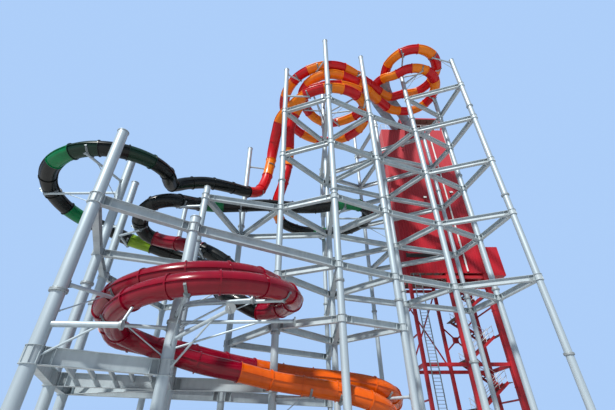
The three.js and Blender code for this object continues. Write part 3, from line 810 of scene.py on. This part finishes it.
# Arms that carry the slides
SADDLE_TOP = -0.2
SADDLE_SIDES = 48
ARM_RADIUS = 0.085
STAY_RADIUS = 0.028
LONGEST_FREE_ARM = 2.0


def trough(reach, length, thickness, offset):
    """The lower part of a ring round x, standing out past the tube's wall by the reach."""
    shell = rod(FITTING, TUBE_RADIUS + reach, length, sides=SADDLE_SIDES, location=(0, 0, 0),
                rotation=ALONG_X, end_fill_type="NOTHING")
    pick(shell, "FACE", lambda f: f.calc_center_median().z > SADDLE_TOP)
    bpy.ops.mesh.delete(type="FACE")
    done()
    wall = shell.modifiers.new("wall", "SOLIDIFY")
    wall.thickness = thickness
    wall.offset = offset
    bpy.ops.object.modifier_apply(modifier=wall.name)
    return shell


def saddle_mesh():
    """Narrow cradle under a tube that runs along x, centred on the tube's axis."""
    parts = [trough(0.024, 0.12, 0.014, 1), trough(0.07, 0.014, 0.05, -1)]
    for y in (-1, 1):
        reach = TUBE_RADIUS + 0.03
        parts.append(block(FITTING, (-0.06, y * reach - 0.028, -0.24), (0.06, y * reach + 0.028, -0.17)))
        for x in (-0.035, 0.035):
            parts.append(hex_bolt(0.14, x, y * (reach + 0.004), -0.2, 0.012))
    return pattern(smooth(joined(parts)))


def arm_mesh():
    """One metre of round arm from x = 0, with a round end plate and a shoe at the column."""
    pipe = rod(STEEL, ARM_RADIUS, 1.0, sides=20, location=(0.5, 0, 0), rotation=ALONG_X)
    plate = rod(FITTING, 0.14, 0.03, sides=24, location=(0.99, 0, 0), rotation=ALONG_X)
    neck = rod(STEEL, 0.115, 0.05, sides=24, location=(0.94, 0, 0), rotation=ALONG_X)
    shoe = bevelled(block(FITTING, (0.0, -0.1, -0.16), (0.03, 0.1, 0.16)), 0.006, 1)
    web = block(STEEL, (0.02, -0.008, -0.15), (0.22, 0.008, -0.06))
    pick(web, "EDGE", lambda e: all(v.co.x > 0.2 and v.co.z < -0.1 for v in e.verts))
    bpy.ops.transform.translate(value=(0, 0, 0.08))
    done()
    return pattern(smooth(joined([pipe, bevelled(plate, 0.006, 1), neck, shoe, web])))


def stay_mesh():
    """One metre of round stay from x = 0 with flattened ends."""
    pipe = rod(STEEL, STAY_RADIUS, 1.0, sides=12, location=(0.5, 0, 0), rotation=ALONG_X)
    lugs = [block(FITTING, (-0.03, -0.01, -0.04), (0.08, 0.01, 0.04)),
            block(FITTING, (0.92, -0.01, -0.04), (1.03, 0.01, 0.04))]
    return pattern(smooth(joined([pipe, *lugs])))


SADDLE = saddle_mesh()
ARM = arm_mesh()
STAY = stay_mesh()
NEIGHBOURS = {}
for points in (A_POINTS, B_POINTS):
    for before, here, after in zip(points, points[1:], points[2:]):
        NEIGHBOURS[here] = (before, after)


def arms_piece(name):
    x, y, _, radius, _ = COLUMNS[name]
    parts = []
    for point in ARMS[name]:
        z = point[2] - ARM_DROP
        centre = Vector((x, y, z))
        tip = Vector((point[0], point[1], z))
        way = (tip - centre).normalized()
        start = centre + way * (radius - 0.01)
        end = tip + way * 0.2
        parts.append(copied(ARM, along(start, end), longer=(end - start).length - 1))
        before, after = NEIGHBOURS[point]
        lie = along(before, after)
        lie.translation = Vector(point)
        parts.append(copied(SADDLE, lie))
        reach = (tip - start).length
        if reach > LONGEST_FREE_ARM:
            low = start + Vector((0, 0, -min(1.3, reach * 0.5)))
            high = start + way * reach * 0.7 + Vector((0, 0, -0.06))
            parts.append(copied(STAY, along(low, high), longer=(high - low).length - 1))
    piece_of(f"slide_arms_{name}", parts, "steel")


for column in ARMS:
    arms_piece(column)


# Brackets from the two front columns to the red rings: height at the column, head with its round plate,
# pipe radius
BRACKETS = {
    "q": [(7.0, (-4.74, -10.93, 7.0), ARM_RADIUS), (6.2, (-2.83, -10.4, 6.2), ARM_RADIUS),
          (5.4, (-5.64, -11.2, 6.5), ARM_RADIUS)],
    "a": [(5.4, (-9.43, -12.68, 5.4), 0.12)],
}
PLATE_RADIUS = 0.2
STRUT_RADIUS = 0.045
# Upright posts from a bracket's head to its ring, and a round face plate with the way it faces
POSTS = {"a": [((-9.5, -12.66, 5.4), (-9.36, -12.4, 6.17))]}
FACE_PLATES = {"q": [((-5.64, -11.28, 6.5), (0.1, -0.93, -0.35))]}


def brackets_piece(name):
    x, y, _, radius, _ = COLUMNS[name]
    parts = []
    for height, head, pipe in BRACKETS[name]:
        foot, head = Vector((x, y, height)), Vector(head)
        way = (head - foot).normalized()
        parts.append(tubing(STEEL, foot + way * (radius - 0.02), head, pipe))
        parts.append(tubing(FLANGE_STEEL_PAINTED_SHADE, head - way * 0.03, head + way * 0.03, PLATE_RADIUS))
        parts.append(tubing(FLANGE_STEEL_PAINTED_SHADE, head - way * 0.1, head - way * 0.03, pipe + 0.035))
        low = Vector((x, y, foot.z - 1.1)) + Vector((way.x, way.y, 0)).normalized() * (radius - 0.02)
        parts.append(tubing(STEEL, low, foot + (head - foot) * 0.72, STRUT_RADIUS))
    for foot, head in POSTS.get(name, []):
        parts.append(tubing(STEEL, foot, head, 0.06))
    for centre, facing in FACE_PLATES.get(name, []):
        centre, facing = Vector(centre), Vector(facing).normalized()
        parts.append(tubing(STEEL, centre - facing * 0.12, centre, 0.11))
        parts.append(tubing(FLANGE_STEEL_PAINTED_SHADE, centre, centre + facing * 0.035, 0.24))
    piece_of(f"ring_brackets_{name}", parts, "steel")


for column in BRACKETS:
    brackets_piece(column)


# Joists of the low front deck
def deck_point(first, last, share, z):
    start, end = COLUMNS[first], COLUMNS[last]
    return Vector((start[0] + (end[0] - start[0]) * share, start[1] + (end[1] - start[1]) * share, z))


JOIST_Z = LEVEL["t6"] + 0.12
JOIST_WIDTH = 0.1
joists = []
for count, near, far, deep in ((6, ("a", "q"), ("a2", "b"), 0.22), (4, ("a2", "a3"), ("b", "a3"), 0.2)):
    for step in range(1, count):
        share = step / count
        start, end = deck_point(*near, share, JOIST_Z), deck_point(*far, share, JOIST_Z)
        joists.append(bar(BEAM_STEEL, start, end, JOIST_WIDTH, deep))
piece_of("deck_joists", joists, "steel")

# Stair tower cladding
KEPT_NODES = {"tower_shell": CLADDING, "tower_side_box": CLADDING, "tower_base_frame": RED_FRAME}
for node, material in KEPT_NODES.items():
    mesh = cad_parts[node].data
    mesh.materials.clear()
    mesh.materials.append(material)


def rib_mesh():
    """One metre of raised cladding rib standing on z = 0, its back at y = 0."""
    rib = block(CLADDING, (-0.05, -0.035, 0), (0.05, 0.0, 1))
    pick(rib, "FACE", lambda f: f.normal.y < -0.9)
    bpy.ops.transform.resize(value=(0.55, 1, 1))
    done()
    return pattern(rib)


RIB = rib_mesh()
RIB_SPACING = 0.32


def ribs_on(start, end, low, high):
    """Ribs along a wall from start to end, standing out to the right-hand side of that way."""
    start, end = Vector(start), Vector(end)
    way = (end - start).normalized()
    count = int((end - start).length / RIB_SPACING)
    angle = math.atan2(way.y, way.x)
    parts = []
    for step in range(count):
        foot = start + way * (RIB_SPACING * (step + 0.7))
        matrix = at(foot.x, foot.y, low) @ Matrix.Rotation(angle, 4, "Z") @ sized(1, 1, high - low)
        parts.append(copied(RIB, matrix))
    return parts


x0, x1, y0, y1 = TOWER["x0"], TOWER["x1"], TOWER["y0"], TOWER["y1"]
low, high = TOWER["bottom"], TOWER["floor"]
ribs = ribs_on((x0, y0), (x1, y0), low, high)
ribs += ribs_on((x0, y1), (x0, y0), low, high)
ribs += ribs_on((x1, y0), (x1, y1), SIDE_BOX["top"], high)
ribs += ribs_on((x1, y1), (x0, y1), low, high)
piece_of("tower_cladding_ribs", ribs, "shell")
box_x, box_y, box_top = SIDE_BOX["x1"], SIDE_BOX["y0"], SIDE_BOX["top"]
side = ribs_on((x1, box_y), (box_x, box_y), low, box_top)
side += ribs_on((box_x, box_y), (box_x, y1), low, box_top)
side += ribs_on((box_x, y1), (x1, y1), low, box_top)
piece_of("side_box_ribs", side, "shell")

strips = []
for x, y in ((x1, y0), (x0, y1), (x1, y1)):
    strip = block(WHITE_TRIM, (x - 0.07, y - 0.07, low), (x + 0.07, y + 0.07, high + 0.05))
    strips.append(bevelled(strip, 0.02, 1))
piece_of("tower_edge_strips", strips, "steel")

# Rain pipe with its brackets, down the front of the shaft
PIPE_X, PIPE_Y = 14.7, y0 - 0.14
PIPE_BRACKETS = 9
BRACKET_SPACING = 2.4
drain = [tubing(WHITE_TRIM, (PIPE_X, PIPE_Y, 16.0), (PIPE_X, PIPE_Y, 36.5), 0.09)]
for step in range(PIPE_BRACKETS):
    z = 17.0 + BRACKET_SPACING * step
    drain.append(block(FITTING, (PIPE_X - 0.13, y0 - 0.15, z - 0.03), (PIPE_X + 0.13, y0, z + 0.03)))
    drain.append(tubing(WHITE_TRIM, (PIPE_X, PIPE_Y, z + 0.05), (PIPE_X, PIPE_Y, z + 0.17), 0.105))
piece_of("rain_pipe", drain, "steel")

# Louvre slot near the foot of the cladding, and the three lamps
SLOT = {"x0": 8.7, "x1": 13.0, "z0": 17.6, "z1": 18.05}
SLATS = 5
SLAT_SPACING = 0.085
louvre = [block(DARK_METAL, (SLOT["x0"], y0 - 0.06, SLOT["z0"]), (SLOT["x1"], y0 - 0.03, SLOT["z1"]))]
for step in range(SLATS):
    z = SLOT["z0"] + 0.06 + SLAT_SPACING * step
    louvre.append(block(DARK_METAL, (SLOT["x0"], y0 - 0.12, z - 0.012), (SLOT["x1"], y0 - 0.05, z + 0.012)))
for x in (SLOT["x0"], SLOT["x1"]):
    louvre.append(block(DARK_METAL, (x - 0.04, y0 - 0.12, SLOT["z0"] - 0.04),
                        (x + 0.04, y0 - 0.02, SLOT["z1"] + 0.04)))
piece_of("louvre_slot", louvre, "frame")

LAMPS_AT = ((10.68, 33.18), (11.98, 25.1), (15.24, 25.87))
lamps = []
for x, z in LAMPS_AT:
    lamps.append(block(FITTING, (x - 0.04, y0 - 0.3, z + 0.1), (x + 0.04, y0, z + 0.16)))
    case = block(DARK_METAL, (x - 0.2, y0 - 0.42, z - 0.14), (x + 0.2, y0 - 0.26, z + 0.14))
    lamps.append(bevelled(case, 0.02, 2))
    glass = block(LAMP_GLASS, (x - 0.17, y0 - 0.435, z - 0.11), (x + 0.17, y0 - 0.415, z + 0.11))
    lamps.append(bevelled(glass, 0.006, 1))
piece_of("front_lamps", lamps, "steel")


# Landing: lining under the roof, dark brown as painted shade, and white rails
HAND_RAIL = 1.05
KNEE_RAIL = 0.55


def rail_run(start, end, posts):
    """Posts, a hand rail and a knee rail from start to end, which lie at floor height."""
    start, end = Vector(start), Vector(end)
    parts = []
    for z, radius in ((HAND_RAIL, 0.028), (KNEE_RAIL, 0.018)):
        up = Vector((0, 0, z))
        parts.append(tubing(WHITE_TRIM, start + up, end + up, radius))
    for step in range(posts):
        foot = start + (end - start) * (step / (posts - 1))
        parts.append(tubing(WHITE_TRIM, foot, foot + Vector((0, 0, HAND_RAIL)), 0.024))
    return parts


LINING = {"x0": 11.24, "z0": 38.64, "z1": 38.69, "first": 11.6, "bars": 6, "spacing": 0.9}
lining = [block(BROWN_AND_PAINTED_SHADE, (LINING["x0"], y0 + 0.04, LINING["z0"]), (x1 - 0.04, y1 - 0.04, LINING["z1"]))]
for step in range(LINING["bars"]):
    x = LINING["first"] + LINING["spacing"] * step
    lining.append(bar(BROWN_AND_PAINTED_SHADE, (x, y0 + 0.06, 38.6), (x, y1 - 0.06, 38.6), 0.08, 0.1))
piece_of("roof_lining", lining, "frame")

# The rails leave the front open where the slides start
INSET = 0.09
OPEN_FROM, OPEN_TO = 9.75, 13.1
left, right, near, far = x0 + INSET, x1 - INSET, y0 + INSET, y1 - INSET
rails = []
for start, end, posts in (((left, near), (OPEN_FROM, near), 3), ((left, near), (left, far), 5),
                          ((left, far), (right, far), 9), ((right, near), (right, far), 5),
                          ((OPEN_TO, near), (right, near), 5)):
    rails += rail_run((*start, high), (*end, high), posts)
piece_of("landing_rails", rails, "steel")

# Base frame: ladder tray, cross brace, casing and the stair flights with their rails
TRAY = {"x0": 9.0, "x1": 9.7, "y": 6.3, "top": 15.8}
RUNGS = 56
RUNG_SPACING = 0.28
ladder = []
for x in (TRAY["x0"], TRAY["x1"]):
    ladder.append(bar(FITTING, (x, TRAY["y"], 0.02), (x, TRAY["y"], TRAY["top"]), 0.05, 0.09))
for step in range(RUNGS):
    z = 0.3 + RUNG_SPACING * step
    ladder.append(bar(FITTING, (TRAY["x0"], TRAY["y"], z), (TRAY["x1"], TRAY["y"], z), 0.03, 0.04))
piece_of("ladder_tray", ladder, "steel")

brace = []
BACK = y1 - FRAME_INSET
for start, end in (((12.55, BACK, 11.6), (16.35, BACK, 7.45)), ((12.55, BACK, 9.2), (16.35, BACK, 12.6)),
                   ((8.6, BACK, 7.45), (12.55, BACK, 15.4)), ((8.6, BACK, 15.4), (12.55, BACK, 7.45))):
    brace.append(bar(RED_FRAME, start, end, 0.07, 0.14))
brace.append(bevelled(block(RED_FRAME, (13.4, BACK - 0.06, 10.0), (14.0, BACK + 0.06, 10.6)), 0.01, 1))
for z in (2.0, 4.6, 10.0, 12.6):
    for x in (x1 - FRAME_INSET, x0 + FRAME_INSET):
        brace.append(bar(RED_FRAME, (x, y0 + FRAME_INSET, z), (x, BACK, z), 0.08, 0.14))
piece_of("base_bracing", brace, "frame")

CASING_BANDS = 7
BAND_SPACING = 2.2
casing = [bevelled(block(RED_FRAME, (x1 - 0.47, y0 - 0.02, 0.0), (x1 + 0.07, y0 + 0.47, 15.85)), 0.03, 2)]
for step in range(CASING_BANDS):
    z = BAND_SPACING * (step + 0.5)
    casing.append(block(RED_FRAME, (x1 - 0.49, y0 - 0.04, z - 0.04), (x1 + 0.09, y0 + 0.49, z + 0.04)))
piece_of("column_casing", casing, "frame")

STEP_RISE = 0.195
FLIGHT_STEPS = 10
FLIGHT = {"x0": 13.3, "x1": 16.0, "y_up": 7.7, "y_back": 9.4, "width": 0.95}
STAIR_LANDING = {"y0": 7.1, "y1": 10.0}
STOREYS = 6
FIRST_FOOT = 0.11
STAIR_RAILS = (0.55, 1.0)


def flight(x_from, x_to, y, z):
    """One stair flight of FLIGHT_STEPS treads with stringers and white rails."""
    rise = STEP_RISE * FLIGHT_STEPS
    parts = []
    half = FLIGHT["width"] / 2
    for side in (-half, half):
        foot, head = Vector((x_from, y + side, z)), Vector((x_to, y + side, z + rise))
        parts.append(bar(RED_FRAME, foot, head, 0.05, 0.24))
        for up in STAIR_RAILS:
            lift = Vector((0, 0, up))
            parts.append(tubing(WHITE_TRIM, foot + lift, head + lift, 0.024))
        for share in (0.02, 0.34, 0.66, 0.98):
            post = foot + (head - foot) * share
            parts.append(tubing(WHITE_TRIM, post, post + Vector((0, 0, STAIR_RAILS[1])), 0.02))
    for step in range(FLIGHT_STEPS):
        share = (step + 0.5) / FLIGHT_STEPS
        x = x_from + (x_to - x_from) * share
        tread = z + rise * share
        parts.append(bar(BROWN_AND_PAINTED_SHADE, (x, y - half, tread), (x, y + half, tread), 0.27, 0.035))
    return parts


stairs = []
for storey in range(STOREYS):
    z = FIRST_FOOT + 2 * STEP_RISE * FLIGHT_STEPS * storey
    half_way = z + STEP_RISE * FLIGHT_STEPS
    stairs += flight(FLIGHT["x0"], FLIGHT["x1"], FLIGHT["y_up"], z)
    stairs += flight(FLIGHT["x1"], FLIGHT["x0"], FLIGHT["y_back"], half_way)
    stairs.append(block(BROWN_AND_PAINTED_SHADE, (FLIGHT["x1"], STAIR_LANDING["y0"], half_way - 0.06),
                        (FLIGHT["x1"] + 0.35, STAIR_LANDING["y1"], half_way)))
    stairs.append(block(BROWN_AND_PAINTED_SHADE, (FLIGHT["x0"] - 0.45, STAIR_LANDING["y0"], z - 0.03),
                        (FLIGHT["x0"], STAIR_LANDING["y1"], z + 0.03)))
piece_of("stair_flights", stairs, "frame")

# Panel under the shaft, dark brown as painted shade, with its bars
PANEL = {"inset": 0.14, "x1": 12.3, "z0": 16.0, "z1": 16.06, "bars": 5, "spacing": 0.8}
front, rear = y0 + PANEL["inset"], y1 - PANEL["inset"]
under = [block(BROWN_AND_PAINTED_SHADE, (x0 + PANEL["inset"], front, PANEL["z0"]), (PANEL["x1"], rear, PANEL["z1"]))]
for step in range(PANEL["bars"]):
    x = x0 + 0.5 + PANEL["spacing"] * step
    under.append(bar(RED_FRAME, (x, front, 15.97), (x, rear, 15.97), 0.07, 0.1))
piece_of("underside_panel", under, "frame")

# Floor, lights and camera
deselect()
bpy.ops.mesh.primitive_plane_add(size=400, location=(0, 0, -0.002))
ground = bpy.context.active_object
ground.name = "studio_floor"
ground.data.materials.append(finish_of("pale_floor", (0.55, 0.54, 0.52), (0.50, 0.49, 0.47), (0.7, 0.8),
                                       patch=0.05, bump=0.0))

SUNLIGHT_WAY = Vector((0.35, 0.62, -0.75))
deselect()
bpy.ops.object.light_add(type="SUN", location=(-20, -40, 60))
sun = bpy.context.active_object
sun.data.energy = 4.4
sun.data.angle = math.radians(4)
sun.data.color = (1.0, 0.97, 0.92)
sun.rotation_euler = SUNLIGHT_WAY.to_track_quat("-Z", "Y").to_euler()

world = bpy.data.worlds.new("studio")
bpy.context.scene.world = world
world.use_nodes = True
nodes, links = world.node_tree.nodes, world.node_tree.links
soft = preset(nodes["Background"], {"Color": (0.55, 0.68, 0.90, 1.0), "Strength": 0.46})
backdrop = preset(nodes.new("ShaderNodeBackground"), {"Color": (0.42, 0.62, 0.95, 1.0)})
seen = nodes.new("ShaderNodeLightPath")
either = nodes.new("ShaderNodeMixShader")
links.new(seen.outputs["Is Camera Ray"], either.inputs["Fac"])
links.new(soft.outputs["Background"], either.inputs[1])
links.new(backdrop.outputs["Background"], either.inputs[2])
links.new(either.outputs["Shader"], nodes["World Output"].inputs["Surface"])

EYE = Vector((-2.78, -26.53, 1.6))
HEADING = math.radians(2.0)
PITCH = math.radians(34.29)
ROLL = math.radians(-0.476)
camera_data = bpy.data.cameras.new("photo_view")
camera_data.lens = 20.49
camera_data.sensor_width = 36.0
camera_data.clip_end = 500.0
camera = bpy.data.objects.new("photo_view", camera_data)
bpy.context.scene.collection.objects.link(camera)
heading = Matrix.Rotation(-HEADING, 4, "Z")
aim = heading @ Matrix.Rotation(math.pi / 2 + PITCH, 4, "X") @ Matrix.Rotation(ROLL, 4, "Z")
camera.matrix_world = Matrix.Translation(EYE) @ aim
bpy.context.scene.camera = camera

bpy.context.scene.view_settings.view_transform = "Standard"
